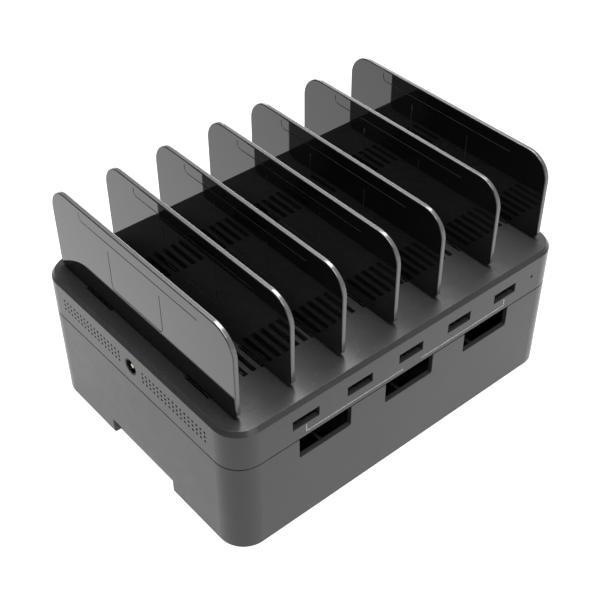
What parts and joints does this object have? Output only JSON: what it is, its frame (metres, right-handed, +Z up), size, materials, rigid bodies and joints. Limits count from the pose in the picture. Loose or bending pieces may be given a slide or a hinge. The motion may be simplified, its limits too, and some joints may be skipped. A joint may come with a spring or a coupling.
{
  "type": "charging station organizer",
  "caption": "Desk charging station: upright dividers form device bays on a vented power housing with USB sockets, over a cable store with cut-outs for the cables.",
  "frame": {"origin": "on the desk, under the middle of the case's footprint", "axes": "+X to the right along the width seen from the front, +Y to the back, +Z up"},
  "size_m": [0.18, 0.1324, 0.1089],
  "materials": {
    "case_plastic": "satin moulded",
    "divider_plastic": "polished",
    "foot_rubber": "matt",
    "screw_steel": "zinc plated",
    "socket_steel": "tin plated",
    "socket_plastic": "moulded",
    "contact_metal": "gold plated",
    "board": "solder mask",
    "lamp": "clear moulded",
    "ferrite": "sintered",
    "capacitor_sleeve": "shrunk sleeve",
    "white_print": "printed ink",
    "chip_epoxy": "moulded",
    "choke_winding": "coated",
    "sink_metal": "extruded"
  },
  "bodies": {
    "base": {"lower_case": "case_plastic", "rubber_feet": "foot_rubber"},
    "housing": {"top_cover": "case_plastic", "bottom_plate": "case_plastic", "plate_screws": "screw_steel", "circuit_board": "board", "board_screws": "screw_steel", "usb_shell_1": "socket_steel", "usb_shell_2": "socket_steel", "usb_shell_3": "socket_steel", "usb_shell_4": "socket_steel", "usb_shell_5": "socket_steel", "usb_insert_1": "socket_plastic", "usb_insert_2": "socket_plastic", "usb_insert_3": "socket_plastic", "usb_insert_4": "socket_plastic", "usb_insert_5": "socket_plastic", "usb_contacts_1": "contact_metal", "usb_contacts_2": "contact_metal", "usb_contacts_3": "contact_metal", "usb_contacts_4": "contact_metal", "usb_contacts_5": "contact_metal", "dc_jack_body": "socket_plastic", "dc_jack_pin": "socket_steel", "dc_jack_spring": "socket_steel", "power_led": "lamp", "light_pipe": "lamp", "inductor_1": "ferrite", "inductor_2": "ferrite", "inductor_3": "ferrite", "inductor_4": "ferrite", "inductor_5": "ferrite", "capacitor_1": "capacitor_sleeve", "capacitor_2": "capacitor_sleeve", "capacitor_3": "capacitor_sleeve", "chip_1": "chip_epoxy", "chip_2": "chip_epoxy", "input_choke": "choke_winding", "heat_sink": "sink_metal"},
    "divider_1": {"divider_1": "divider_plastic"},
    "divider_2": {"divider_2": "divider_plastic"},
    "divider_3": {"divider_3": "divider_plastic"},
    "divider_4": {"divider_4": "divider_plastic"},
    "divider_5": {"divider_5": "divider_plastic"},
    "divider_6": {"divider_6": "divider_plastic"},
    "divider_7": {"divider_7": "divider_plastic"}
  },
  "joints": [
    {"name": "housing_lift", "type": "slide", "parent": "base", "child": "housing", "axis": [0, 0, 1], "range_m": [0, 0.05]},
    {"name": "divider_1_lift", "type": "slide", "parent": "housing", "child": "divider_1", "axis": [0, 0, 1], "range_m": [0, 0.03]},
    {"name": "divider_2_lift", "type": "slide", "parent": "housing", "child": "divider_2", "axis": [0, 0, 1], "range_m": [0, 0.03]},
    {"name": "divider_3_lift", "type": "slide", "parent": "housing", "child": "divider_3", "axis": [0, 0, 1], "range_m": [0, 0.03]},
    {"name": "divider_4_lift", "type": "slide", "parent": "housing", "child": "divider_4", "axis": [0, 0, 1], "range_m": [0, 0.03]},
    {"name": "divider_5_lift", "type": "slide", "parent": "housing", "child": "divider_5", "axis": [0, 0, 1], "range_m": [0, 0.03]},
    {"name": "divider_6_lift", "type": "slide", "parent": "housing", "child": "divider_6", "axis": [0, 0, 1], "range_m": [0, 0.03]},
    {"name": "divider_7_lift", "type": "slide", "parent": "housing", "child": "divider_7", "axis": [0, 0, 1], "range_m": [0, 0.03]}
  ]
}
